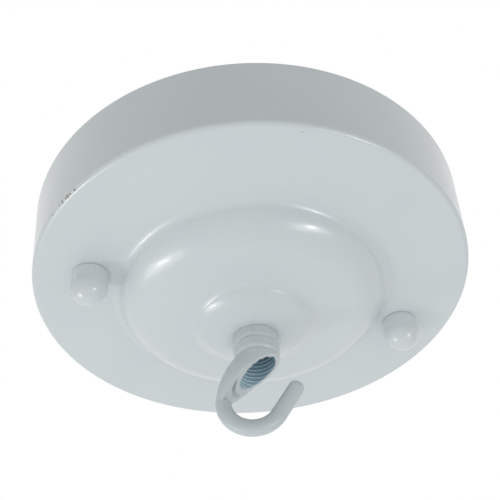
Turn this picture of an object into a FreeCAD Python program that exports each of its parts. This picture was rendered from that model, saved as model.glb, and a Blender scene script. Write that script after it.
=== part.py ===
import FreeCAD, Part
import math
import os
import Sketcher
from FreeCAD import Placement, Rotation, Vector

# Ceiling hook plate for a pendant light: a pressed steel cup held to the ceiling by a strap and
# two dome nuts, with a cast hook whose hollow stem lets the cord through.
#
# The origin is the centre of the ceiling plane. +Z points up into the ceiling, so the object
# hangs towards -Z, and every depth below counts down from the ceiling. The two studs lie on X.

# Driving dimensions, all in millimetres

SIZES = (
    ("rim_radius", 52.5, "outer radius of the cup where it meets the ceiling"),
    ("face_radius", 50.9, "outer radius of the flat face, less than the rim by the wall's draft"),
    ("face_depth", 18.5, "depth of the flat face"),
    ("sheet", 0.8, "thickness of the pressed steel"),
    ("dome_foot_radius", 31.6, "where the dome leaves the face"),
    ("dome_shoulder_radius", 28.7, "corner of the dome before it is rounded"),
    ("dome_shoulder_depth", 24.7, "depth of that corner"),
    ("boss_foot_radius", 14.3, "where the small boss leaves the dome"),
    ("boss_foot_depth", 26.2, "depth there"),
    ("boss_shoulder_radius", 12.4, "corner of the boss before it is rounded"),
    ("boss_shoulder_depth", 28.1, "depth of that corner"),
    ("seat_radius", 6.8, "flat seat round the centre hole"),
    ("seat_depth", 30.0, "depth of the seat, where the hook starts"),
    ("rim_rounding", 1.2, "outer rounding between wall and face"),
    ("foot_rounding", 1.3, "hollow rounding at the foot of the dome"),
    ("shoulder_rounding", 10.0, "rounding of the dome's shoulder"),
    ("boss_foot_rounding", 2.0, "hollow rounding at the foot of the boss"),
    ("boss_rounding", 7.5, "rounding of the boss's shoulder"),
    ("seat_rounding", 3.0, "rounding round the flat seat"),
    ("stud_offset", 38.1, "distance of each stud from the centre"),
    ("stud_thread_radius", 2.0, "M4 stud"),
    ("stud_length", 20.0, "length of the stud below its head"),
    ("stud_head_radius", 3.5, "cheese head"),
    ("stud_head_height", 2.6, "cheese head"),
    ("hole_clearance", 0.2, "radial room of a screw or tube in a plain hole"),
    ("thread_clearance", 0.05, "radial room of a screw or tube in a threaded hole"),
    ("dome_nut_radius", 4.1, "radius of each white dome nut"),
    ("dome_nut_skirt", 3.9, "height of its straight part"),
    ("dome_nut_spare", 0.6, "room in the nut beyond the end of the stud"),
    ("nut_turning", 0.51, "radius of the turned corners of a nut, as a share of its diagonal"),
    ("lock_nut_flats", 7.0, "M4 nut across its flats"),
    ("lock_nut_height", 3.2, "M4 nut"),
    ("stud_washer_radius", 4.0, "shakeproof washer under each M4 nut"),
    ("stud_washer_height", 0.5, "shakeproof washer under each M4 nut"),
    ("strap_half_length", 44.5, "half the length of the ceiling strap"),
    ("strap_width", 18.0, "width of the strap"),
    ("strap_sheet", 1.5, "thickness of the strap"),
    ("strap_end_depth", 4.0, "how far the strap's ends stand off the ceiling"),
    ("strap_step_start", 32.0, "where the strap starts to step down"),
    ("strap_step_run", 2.2, "length of that step"),
    ("strap_bend_radius", 0.5, "inner radius of the bends"),
    ("slot_centre", 25.4, "middle of each slot for a ceiling screw"),
    ("slot_radius", 2.25, "half the width of a slot"),
    ("slot_travel", 6.0, "distance between the two round ends of a slot"),
    ("cable_hole_radius", 6.0, "hole in the strap for the cable from the ceiling"),
    ("earth_tab_width", 11.0, "tab bent down from the strap for the earth screw"),
    ("earth_tab_depth", 12.5, "lower end of that tab"),
    ("earth_screw_depth", 7.0, "depth of the earth screw"),
    ("earth_screw_radius", 2.0, "M4 brass screw"),
    ("earth_screw_length", 8.0, "length below its head"),
    ("earth_head_radius", 3.8, "cheese head"),
    ("earth_head_height", 2.4, "cheese head"),
    ("driver_slot", 1.0, "width and depth of the screws' driver slots"),
    ("earth_washer_radius", 4.6, "brass cup washer"),
    ("earth_washer_height", 1.6, "brass cup washer"),
    ("earth_washer_sheet", 0.6, "brass cup washer"),
    ("nipple_radius", 4.0, "M8 x 1 hollow threaded tube"),
    ("nipple_bore_radius", 3.1, "cord passage through the tube"),
    ("nipple_engagement", 3.0, "how far the tube reaches into the hook"),
    ("nipple_length", 13.0, "length of the tube"),
    ("washer_radius", 6.2, "plain washer inside the cup"),
    ("washer_height", 1.0, "plain washer inside the cup"),
    ("star_washer_radius", 6.0, "shakeproof washer on it"),
    ("star_washer_height", 0.6, "shakeproof washer on it"),
    ("hex_nut_flats", 12.0, "M8 x 1 nut across its flats"),
    ("hex_nut_height", 3.5, "M8 x 1 nut"),
    ("bush_radius", 5.4, "nylon bush that keeps the cord off the tube's end"),
    ("bush_skirt", 2.4, "how far it screws over the tube"),
    ("bush_lip", 1.3, "thickness over the tube's end"),
    ("bush_rounding", 0.78, "roundings of the bush where the cord passes it"),
    ("collar_radius", 5.15, "ringed neck of the hook"),
    ("collar_height", 3.0, "height of each of its two rings"),
    ("collar_rounding", 0.7, "rounded lower edge of each ring"),
    ("stem_radius", 4.95, "hollow stem below the rings"),
    ("hook_wire_radius", 1.75, "round arm of the hook"),
    ("hook_bend_radius", 6.3, "centreline of the hook's bend"),
    ("hook_bend_offset", 1.5, "distance of the bend's centre from the stem's axis"),
    ("hook_bend_depth", 46.5, "depth of the bend's centre"),
    ("hook_leg_tilt", 34.3, "degrees by which the open leg leans outwards"),
    ("hook_leg_length", 7.2, "straight part of the open leg, to the centre of its tip"),
    ("hook_turn", -19.5, "degrees by which the hook is turned from the line of the studs"),
    ("thread_end_depth", 42.0, "where the hook's thread ends"),
    ("mouth_radius", 5.2, "flared mouth below the thread"),
    ("mouth_depth", 43.7, "depth where the flare ends"),
    ("mouth_groove", 0.7, "width of the narrow groove round the mouth"),
    ("mouth_groove_height", 1.1, "how far the groove goes up"),
    ("cut_top_depth", 36.3, "upper end of the slanting cut, on the side of the tip"),
    ("cut_radius", 37.0, "the slanting cut is slightly hollow"),
)

doc = FreeCAD.newDocument("hook_plate")
sheet = doc.addObject("Spreadsheet::Sheet", "sizes")
for row, (alias, value, meaning) in enumerate(SIZES, start=1):
    sheet.set("A%d" % row, alias)
    sheet.set("B%d" % row, str(value))
    sheet.setAlias("B%d" % row, alias)
    sheet.set("C%d" % row, meaning)
doc.recompute()


def size(alias):
    """Reads one driving dimension back from the sheet."""
    return float(sheet.get(alias))


# Values worked out from the driving ones, kept in the same sheet

DERIVED = (
    ("stud_hole_radius", "=stud_thread_radius + hole_clearance"),
    ("dome_nut_bore", "=stud_thread_radius + thread_clearance"),
    ("stud_end_depth", "=strap_end_depth + stud_length"),
    ("nut_bore_depth", "=stud_end_depth + dome_nut_spare"),
    ("strap_seat_depth", "=strap_end_depth + strap_sheet"),
    ("lock_nut_depth", "=strap_seat_depth + stud_washer_height"),
    ("centre_hole_radius", "=nipple_radius + hole_clearance"),
    ("inner_seat_depth", "=seat_depth - sheet"),
    ("washer_top_depth", "=inner_seat_depth - washer_height"),
    ("star_top_depth", "=washer_top_depth - star_washer_height"),
    ("hex_top_depth", "=star_top_depth - hex_nut_height"),
    ("nipple_low_depth", "=seat_depth + nipple_engagement"),
    ("nipple_top_depth", "=nipple_low_depth - nipple_length"),
    ("bush_low_depth", "=nipple_top_depth + bush_skirt"),
    ("bush_top_depth", "=nipple_top_depth - bush_lip"),
    ("hook_bore_radius", "=nipple_radius + thread_clearance"),
    ("stem_top_depth", "=seat_depth + 2 * collar_height"),
    ("earth_face", "=strap_width / 2 + strap_sheet"),
    ("earth_hole_radius", "=earth_screw_radius + thread_clearance"),
    ("earth_washer_hole", "=earth_screw_radius + hole_clearance"),
    ("strap_bend_shift", "=strap_sheet * tan(atan(strap_end_depth / strap_step_run) / 2)"),
    ("arm_start", "=hook_bend_offset + hook_bend_radius"),
    ("arm_reach", "=arm_start + hook_wire_radius"),
    ("cut_run", "=stem_radius + arm_start"),
    ("cut_fall", "=hook_bend_depth - cut_top_depth"),
    ("cut_chord", "=sqrt(cut_run ^ 2 + cut_fall ^ 2)"),
    ("cut_rise", "=sqrt(cut_radius ^ 2 - cut_chord ^ 2 / 4)"),
    ("cut_centre_across", "=(stem_radius - arm_start) / 2 + cut_rise * cut_fall / cut_chord"),
    ("cut_centre_depth", "=(cut_top_depth + hook_bend_depth) / 2 + cut_rise * cut_run / cut_chord"),
    ("corner_across", "=hook_bend_radius * cos(hook_leg_tilt) - hook_bend_offset"),
    ("corner_depth", "=hook_bend_depth + hook_bend_radius * sin(hook_leg_tilt)"),
    ("tip_across", "=corner_across + hook_leg_length * sin(hook_leg_tilt)"),
    ("tip_depth", "=corner_depth - hook_leg_length * cos(hook_leg_tilt)"),
)
for row, (alias, formula) in enumerate(DERIVED, start=len(SIZES) + 2):
    sheet.set("A%d" % row, alias)
    sheet.set("B%d" % row, formula)
    sheet.setAlias("B%d" % row, alias)
doc.recompute()


# Helpers for bodies, sketches and features

def new_body(name):
    body = doc.addObject("PartDesign::Body", name)
    body.Label = name
    return body


def new_sketch(body, name, role):
    """A sketch on one of the body's own origin planes."""
    plane = next(f for f in body.Origin.OriginFeatures if f.Role == role)
    sketch = body.newObject("Sketcher::SketchObject", name)
    sketch.AttachmentSupport = (plane, [""])
    sketch.MapMode = "FlatFace"
    return sketch


def bind(sketch, constraint, expression):
    index = sketch.addConstraint(constraint)
    sketch.setExpression("Constraints[%d]" % index, expression)


def draw_outline(sketch, corners):
    """A closed outline of straight lines. Each corner is a distance from the axis and a depth
    below the ceiling, both written as expressions of the sheet's names."""
    count = len(corners)
    for i in range(count):
        start = Vector(i + 1, -(i + 1) ** 2, 0)
        end = Vector(i + 2, -(i + 2) ** 2, 0)
        sketch.addGeometry(Part.LineSegment(start, end), False)
    for i in range(count):
        sketch.addConstraint(Sketcher.Constraint("Coincident", i, 2, (i + 1) % count, 1))
    for i, (across, depth) in enumerate(corners):
        if across == "0":
            sketch.addConstraint(Sketcher.Constraint("PointOnObject", i, 1, -2))
        else:
            bind(sketch, Sketcher.Constraint("DistanceX", -1, 1, i, 1, 1.0), across)
        if depth == "0":
            sketch.addConstraint(Sketcher.Constraint("PointOnObject", i, 1, -1))
        else:
            bind(sketch, Sketcher.Constraint("DistanceY", i, 1, -1, 1, 1.0), depth)


def draw_circle(sketch, across, up, radius):
    """A circle whose centre and radius are expressions."""
    index = sketch.addGeometry(Part.Circle(Vector(1, 1, 0), Vector(0, 0, 1), 1), False)
    bind(sketch, Sketcher.Constraint("Radius", index, 1.0), radius)
    for kind, axis, place in (("DistanceX", -2, across), ("DistanceY", -1, up)):
        if place == "0":
            sketch.addConstraint(Sketcher.Constraint("PointOnObject", index, 3, axis))
        else:
            bind(sketch, Sketcher.Constraint(kind, -1, 1, index, 3, 1.0), place)
    return index


def revolve(body, sketch, name):
    turned = body.newObject("PartDesign::Revolution", name)
    turned.Profile = sketch
    turned.ReferenceAxis = (sketch, ["V_Axis"])
    turned.Angle = 360
    sketch.Visibility = False
    return turned


def add_feature(body, kind, name, **values):
    """Adds one feature to a body; a value written as text is bound to the sheet."""
    feature = body.newObject(kind, name)
    for key, value in values.items():
        if isinstance(value, str) and "sizes." in value:
            feature.setExpression(key, value)
        else:
            setattr(feature, key, value)
    return feature


def round_edges(body, base, name, edges, radius):
    doc.recompute()
    return add_feature(body, "PartDesign::Fillet", name, Base=(base, edges(base.Shape)), Radius=radius)


def ring_edges(radius, depth):
    """Picks the circular edges of one radius at one depth."""
    def pick(shape):
        names = []
        for number, edge in enumerate(shape.Edges, start=1):
            curve = edge.Curve
            if curve.TypeId != "Part::GeomCircle":
                continue
            if abs(curve.Radius - radius) < 1e-4 and abs(curve.Center.z + depth) < 1e-4:
                names.append("Edge%d" % number)
        return names
    return pick


def cross_edges(places):
    """Picks the straight edges along Y that pass through the given (|x|, depth) places."""
    def pick(shape):
        names = []
        for number, edge in enumerate(shape.Edges, start=1):
            a = edge.Vertexes[0].Point
            b = edge.Vertexes[-1].Point
            if abs(a.x - b.x) > 1e-6 or abs(a.z - b.z) > 1e-6:
                continue
            for across, depth in places:
                if abs(abs(a.x) - across) < 1e-4 and abs(a.z + depth) < 1e-4:
                    names.append("Edge%d" % number)
        return names
    return pick


def place(item, x="0", y="0", z="0", axis=None, angle=0.0):
    """Gives a piece its Placement, bound to the sheet."""
    if axis is not None:
        item.Placement = Placement(Vector(0, 0, 0), Rotation(axis, angle))
    for name, value in (("x", x), ("y", y), ("z", z)):
        if value != "0":
            item.setExpression("Placement.Base." + name, value)


def cylinder(name, radius, height, top):
    """An upright cylinder that hangs down from the given depth of its own frame."""
    item = doc.addObject("Part::Cylinder", name)
    item.setExpression("Radius", radius)
    item.setExpression("Height", height)
    item.setExpression("Placement.Base.z", "-(%s) - (%s)" % (top, height))
    return item


def cut(name, base, tool):
    item = doc.addObject("Part::Cut", name)
    item.Base = base
    item.Tool = tool
    return item


def fuse(name, pieces):
    item = doc.addObject("Part::MultiFuse", name)
    item.Shapes = pieces
    return item


def ring(name, outer, inner, height, top="0"):
    """A flat ring, such as a washer."""
    disc = cylinder(name + "_disc", outer, height, top)
    hole = cylinder(name + "_hole", inner, height, top)
    return cut(name, disc, hole)


parts = []


def finish(item, name):
    """Names a finished sub-part and puts it on the list of pieces to write."""
    item.Label = name
    parts.append(item)


# The pressed cup: one sheet of steel with a stepped dome, three holes and an open back

def make_cup():
    body = new_body("canopy_cup")
    outline = new_sketch(body, "cup_outline", "XZ_Plane")
    draw_outline(outline, [
        ("0", "0"),
        ("sizes.rim_radius", "0"),
        ("sizes.face_radius", "sizes.face_depth"),
        ("sizes.dome_foot_radius", "sizes.face_depth"),
        ("sizes.dome_shoulder_radius", "sizes.dome_shoulder_depth"),
        ("sizes.boss_foot_radius", "sizes.boss_foot_depth"),
        ("sizes.boss_shoulder_radius", "sizes.boss_shoulder_depth"),
        ("sizes.seat_radius", "sizes.seat_depth"),
        ("0", "sizes.seat_depth"),
    ])
    solid = revolve(body, outline, "cup_form")
    roundings = (
        ("face", "face_depth", "rim_rounding"),
        ("dome_foot", "face_depth", "foot_rounding"),
        ("dome_shoulder", "dome_shoulder_depth", "shoulder_rounding"),
        ("boss_foot", "boss_foot_depth", "boss_foot_rounding"),
        ("boss_shoulder", "boss_shoulder_depth", "boss_rounding"),
        ("seat", "seat_depth", "seat_rounding"),
    )
    for corner, depth, radius in roundings:
        edges = ring_edges(size(corner + "_radius"), size(depth))
        solid = round_edges(body, solid, corner + "_rounding", edges, "sizes." + radius)
    doc.recompute()
    back = ["Face%d" % n for n, f in enumerate(solid.Shape.Faces, start=1) if abs(f.CenterOfMass.z) < 1e-6]
    add_feature(body, "PartDesign::Thickness", "cup_shell", Base=(solid, back), Value="sizes.sheet",
                Reversed=True)
    holes = new_sketch(body, "cup_holes", "XY_Plane")
    draw_circle(holes, "0", "0", "sizes.centre_hole_radius")
    for sign in ("-", ""):
        draw_circle(holes, sign + "sizes.stud_offset", "0", "sizes.stud_hole_radius")
    add_feature(body, "PartDesign::Pocket", "cup_hole_cut", Profile=holes, Type="ThroughAll")
    finish(body, "canopy_cup")


# The strap that is screwed to the ceiling: flat in the middle, its ends stepped down, so that
# the heads of the two studs clear the ceiling

def draw_slot(sketch, middle, travel, radius):
    centre = size("slot_centre")
    half = size("slot_travel") / 2
    wide = size("slot_radius")
    normal = Vector(0, 0, 1)
    right = math.pi / 2
    near_circle = Part.Circle(Vector(centre - half, 0, 0), normal, wide)
    far_circle = Part.Circle(Vector(centre + half, 0, 0), normal, wide)
    near = Part.ArcOfCircle(near_circle, right, 3 * right)
    far = Part.ArcOfCircle(far_circle, -right, right)
    upper = Part.LineSegment(Vector(centre + half, wide, 0), Vector(centre - half, wide, 0))
    lower = Part.LineSegment(Vector(centre - half, -wide, 0), Vector(centre + half, -wide, 0))
    for item in (near, far, upper, lower):
        sketch.addGeometry(item, False)
    for first, first_end, second, second_end in ((2, 1, 1, 2), (2, 2, 0, 1), (3, 1, 0, 2), (3, 2, 1, 1)):
        sketch.addConstraint(Sketcher.Constraint("Tangent", first, first_end, second, second_end))
    for arc in (0, 1):
        sketch.addConstraint(Sketcher.Constraint("PointOnObject", arc, 3, -1))
    sketch.addConstraint(Sketcher.Constraint("Equal", 0, 1))
    bind(sketch, Sketcher.Constraint("Radius", 0, wide), radius)
    for arc, sign in ((0, "-"), (1, "+")):
        bind(sketch, Sketcher.Constraint("DistanceX", -1, 1, arc, 3, centre),
             "%s %s %s / 2" % (middle, sign, travel))


def make_strap():
    body = new_body("ceiling_strap")
    outline = new_sketch(body, "strap_side", "XZ_Plane")
    step_end = "sizes.strap_step_start + sizes.strap_step_run"
    draw_outline(outline, [
        ("0", "0"),
        ("sizes.strap_step_start", "0"),
        (step_end, "sizes.strap_end_depth"),
        ("sizes.strap_half_length", "sizes.strap_end_depth"),
        ("sizes.strap_half_length", "sizes.strap_seat_depth"),
        (step_end + " - sizes.strap_bend_shift", "sizes.strap_seat_depth"),
        ("sizes.strap_step_start - sizes.strap_bend_shift", "sizes.strap_sheet"),
        ("0", "sizes.strap_sheet"),
    ])
    half = add_feature(body, "PartDesign::Pad", "strap_half", Profile=outline, Midplane=True,
                       Length="sizes.strap_width")
    slot = new_sketch(body, "strap_slot", "XY_Plane")
    draw_slot(slot, "sizes.slot_centre", "sizes.slot_travel", "sizes.slot_radius")
    slot_cut = add_feature(body, "PartDesign::Pocket", "strap_slot_cut", Profile=slot, Type="ThroughAll")
    stud = new_sketch(body, "strap_stud_hole", "XY_Plane")
    draw_circle(stud, "sizes.stud_offset", "0", "sizes.stud_hole_radius")
    stud_cut = add_feature(body, "PartDesign::Pocket", "strap_stud_cut", Profile=stud, Type="ThroughAll")
    doc.recompute()
    side = next(f for f in body.Origin.OriginFeatures if f.Role == "YZ_Plane")
    whole = add_feature(body, "PartDesign::Mirrored", "strap_whole", Originals=[half, slot_cut, stud_cut],
                        MirrorPlane=(side, [""]))
    body.Tip = whole
    start = size("strap_step_start")
    end = start + size("strap_step_run")
    shift = size("strap_bend_shift")
    inner = ((end, size("strap_end_depth")), (start - shift, size("strap_sheet")))
    outer = ((start, 0.0), (end - shift, size("strap_seat_depth")))
    bent = round_edges(body, whole, "strap_inner_bends", cross_edges(inner), "sizes.strap_bend_radius")
    bent = round_edges(body, bent, "strap_outer_bends", cross_edges(outer),
                       "sizes.strap_bend_radius + sizes.strap_sheet")
    tab = new_sketch(body, "earth_tab_side", "XZ_Plane")
    draw_outline(tab, [
        ("-sizes.earth_tab_width / 2", "0"),
        ("sizes.earth_tab_width / 2", "0"),
        ("sizes.earth_tab_width / 2", "sizes.earth_tab_depth"),
        ("-sizes.earth_tab_width / 2", "sizes.earth_tab_depth"),
    ])
    tab.setExpression("AttachmentOffset.Base.z", "-sizes.strap_width / 2")
    add_feature(body, "PartDesign::Pad", "earth_tab", Profile=tab, Reversed=True, Length="sizes.strap_sheet")
    middle = new_sketch(body, "strap_cable_hole", "XY_Plane")
    draw_circle(middle, "0", "0", "sizes.cable_hole_radius")
    add_feature(body, "PartDesign::Pocket", "strap_cable_cut", Profile=middle, Type="ThroughAll")
    earth = new_sketch(body, "earth_hole", "XZ_Plane")
    draw_circle(earth, "0", "-sizes.earth_screw_depth", "sizes.earth_hole_radius")
    add_feature(body, "PartDesign::Pocket", "earth_cut", Profile=earth, Type="ThroughAll", Midplane=True)
    finish(body, "ceiling_strap")


# Fasteners

def hexagon_nut(name, flats, height, bore):
    """A hexagonal nut whose corners are turned off, as on a real one."""
    prism = doc.addObject("Part::Prism", name + "_prism")
    prism.Polygon = 6
    prism.setExpression("Circumradius", "%s / sqrt(3)" % flats)
    prism.setExpression("Height", height)
    prism.setExpression("Placement.Base.z", "-" + height)
    ball = doc.addObject("Part::Sphere", name + "_turned")
    ball.setExpression("Radius", "sizes.nut_turning * sqrt(%s ^ 2 + %s ^ 2)" % (flats, height))
    ball.setExpression("Placement.Base.z", "-%s / 2" % height)
    form = doc.addObject("Part::Common", name + "_form")
    form.Base = prism
    form.Tool = ball
    return cut(name, form, cylinder(name + "_bore", bore, height, "0"))


def slotted_screw(name, shank_radius, shank_length, head_radius, head_height):
    """A screw that hangs down from its head; its own frame's origin is under the head."""
    shank = cylinder(name + "_shank", shank_radius, shank_length, "0")
    head = cylinder(name + "_head", head_radius, head_height, "-" + head_height)
    slot = doc.addObject("Part::Box", name + "_slot")
    slot.setExpression("Length", "2 * " + head_radius)
    slot.setExpression("Width", "sizes.driver_slot")
    slot.setExpression("Height", "sizes.driver_slot")
    slot.setExpression("Placement.Base.x", "-" + head_radius)
    slot.setExpression("Placement.Base.y", "-sizes.driver_slot / 2")
    slot.setExpression("Placement.Base.z", head_height + " - sizes.driver_slot")
    return cut(name, fuse(name + "_blank", [shank, head]), slot)


def make_side(side, sign):
    """The stud, its washer and lock nut, and the white dome nut of one side."""
    across = sign + "sizes.stud_offset"

    name = side + "_stud_screw"
    stud = slotted_screw(name, "sizes.stud_thread_radius", "sizes.stud_length", "sizes.stud_head_radius",
                         "sizes.stud_head_height")
    place(stud, x=across, z="-sizes.strap_end_depth")
    finish(stud, name)

    name = side + "_stud_washer"
    washer = ring(name, "sizes.stud_washer_radius", "sizes.stud_hole_radius", "sizes.stud_washer_height")
    place(washer, x=across, z="-sizes.strap_seat_depth")
    finish(washer, name)

    name = side + "_stud_nut"
    nut = hexagon_nut(name, "sizes.lock_nut_flats", "sizes.lock_nut_height", "sizes.dome_nut_bore")
    place(nut, x=across, z="-sizes.lock_nut_depth")
    finish(nut, name)

    name = side + "_dome_nut"
    skirt = cylinder(name + "_skirt", "sizes.dome_nut_radius", "sizes.dome_nut_skirt", "0")
    dome = doc.addObject("Part::Sphere", name + "_dome")
    dome.setExpression("Radius", "sizes.dome_nut_radius")
    dome.setExpression("Placement.Base.z", "-sizes.dome_nut_skirt")
    above = cylinder(name + "_above", "2 * sizes.dome_nut_radius", "2 * sizes.dome_nut_radius",
                     "-2 * sizes.dome_nut_radius")
    blank = cut(name + "_blank", fuse(name + "_form", [skirt, dome]), above)
    bore = cylinder(name + "_bore", "sizes.dome_nut_bore", "sizes.nut_bore_depth - sizes.face_depth", "0")
    dome_nut = cut(name, blank, bore)
    place(dome_nut, x=across, z="-sizes.face_depth")
    finish(dome_nut, name)


def make_earth_terminal():
    screw = slotted_screw("earth_screw", "sizes.earth_screw_radius", "sizes.earth_screw_length",
                          "sizes.earth_head_radius", "sizes.earth_head_height")
    place(screw, y="sizes.earth_face + sizes.earth_washer_height", z="-sizes.earth_screw_depth",
          axis=Vector(1, 0, 0), angle=-90.0)
    finish(screw, "earth_screw")
    plate = ring("earth_washer_plate", "sizes.earth_washer_radius", "sizes.earth_washer_hole",
                 "sizes.earth_washer_sheet")
    wall = ring("earth_washer_wall", "sizes.earth_washer_radius",
                "sizes.earth_washer_radius - sizes.earth_washer_sheet", "sizes.earth_washer_height")
    washer = fuse("earth_cup_washer", [plate, wall])
    place(washer, y="sizes.earth_face + sizes.earth_washer_height", z="-sizes.earth_screw_depth",
          axis=Vector(1, 0, 0), angle=-90.0)
    finish(washer, "earth_cup_washer")


# The hollow threaded tube that joins cup and hook, with what clamps it inside the cup

def make_nipple():
    tube = ring("cord_nipple", "sizes.nipple_radius", "sizes.nipple_bore_radius", "sizes.nipple_length")
    place(tube, z="-sizes.nipple_top_depth")
    finish(tube, "cord_nipple")
    washer = ring("nipple_washer", "sizes.washer_radius", "sizes.centre_hole_radius", "sizes.washer_height")
    place(washer, z="-sizes.washer_top_depth")
    finish(washer, "nipple_washer")
    star = ring("nipple_star_washer", "sizes.star_washer_radius", "sizes.centre_hole_radius",
                "sizes.star_washer_height")
    place(star, z="-sizes.star_top_depth")
    finish(star, "nipple_star_washer")
    nut = hexagon_nut("nipple_nut", "sizes.hex_nut_flats", "sizes.hex_nut_height", "sizes.hook_bore_radius")
    place(nut, z="-sizes.hex_top_depth")
    finish(nut, "nipple_nut")
    bush = new_body("cord_bush")
    outline = new_sketch(bush, "bush_outline", "XZ_Plane")
    draw_outline(outline, [
        ("sizes.nipple_bore_radius", "sizes.bush_top_depth"),
        ("sizes.bush_radius", "sizes.bush_top_depth"),
        ("sizes.bush_radius", "sizes.bush_low_depth"),
        ("sizes.hook_bore_radius", "sizes.bush_low_depth"),
        ("sizes.hook_bore_radius", "sizes.nipple_top_depth"),
        ("sizes.nipple_bore_radius", "sizes.nipple_top_depth"),
    ])
    solid = revolve(bush, outline, "bush_form")
    mouth = ring_edges(size("nipple_bore_radius"), size("bush_top_depth"))
    solid = round_edges(bush, solid, "bush_mouth", mouth, "sizes.bush_rounding")
    edge = ring_edges(size("bush_radius"), size("bush_top_depth"))
    round_edges(bush, solid, "bush_edge", edge, "sizes.bush_rounding")
    finish(bush, "cord_bush")


# The hook: one casting with a ringed neck, a hollow stem cut on the slant and a round arm

# Sections of the tongue that leads from inside the stem to the arm: share of the depth, of the
# reach to the side away from the tip, and of the thickness
TONGUE_SECTIONS = (
    (0.00, -0.05, 0.92),
    (0.23, 0.38, 1.00),
    (0.57, 0.76, 0.98),
    (0.80, 0.91, 0.63),
    (1.05, 0.98, -0.05),
)


def tongue_section(body, number, depth_share, reach_share, thickness):
    section = new_sketch(body, "tongue_section_%d" % number, "XY_Plane")
    section.setExpression(
        "AttachmentOffset.Base.z",
        "-sizes.stem_top_depth - %s * (sizes.hook_bend_depth - sizes.stem_top_depth)" % depth_share)
    radius = "sizes.hook_wire_radius + %s * (sizes.stem_radius - sizes.hook_wire_radius)" % thickness
    reach = "sizes.stem_radius + %s * (sizes.arm_reach - sizes.stem_radius)" % reach_share
    draw_circle(section, "(%s) - (%s)" % (radius, reach), "0", radius)
    return section


def arm_path(body):
    """The bend and the straight open leg, along the middle of the round arm."""
    path = new_sketch(body, "arm_path", "XZ_Plane")
    tilt = math.radians(size("hook_leg_tilt"))
    bend = size("hook_bend_radius")
    centre = Vector(-size("hook_bend_offset"), -size("hook_bend_depth"), 0)
    circle = Part.Circle(centre, Vector(0, 0, 1), bend)
    corner = centre + Vector(bend * math.cos(tilt), -bend * math.sin(tilt), 0)
    tip = Vector(size("tip_across"), -size("tip_depth"), 0)
    path.addGeometry(Part.ArcOfCircle(circle, math.pi, 2 * math.pi - tilt), False)
    path.addGeometry(Part.LineSegment(corner, tip), False)
    path.addConstraint(Sketcher.Constraint("Tangent", 0, 2, 1, 1))
    path.addConstraint(Sketcher.Constraint("Horizontal", 0, 1, 0, 3))
    bind(path, Sketcher.Constraint("DistanceX", 0, 3, -1, 1, -centre.x), "sizes.hook_bend_offset")
    bind(path, Sketcher.Constraint("DistanceY", 0, 3, -1, 1, -centre.y), "sizes.hook_bend_depth")
    bind(path, Sketcher.Constraint("DistanceX", -1, 1, 1, 2, tip.x), "sizes.tip_across")
    bind(path, Sketcher.Constraint("DistanceY", 1, 2, -1, 1, -tip.y), "sizes.tip_depth")
    bind(path, Sketcher.Constraint("Radius", 0, bend), "sizes.hook_bend_radius")
    return path


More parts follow.
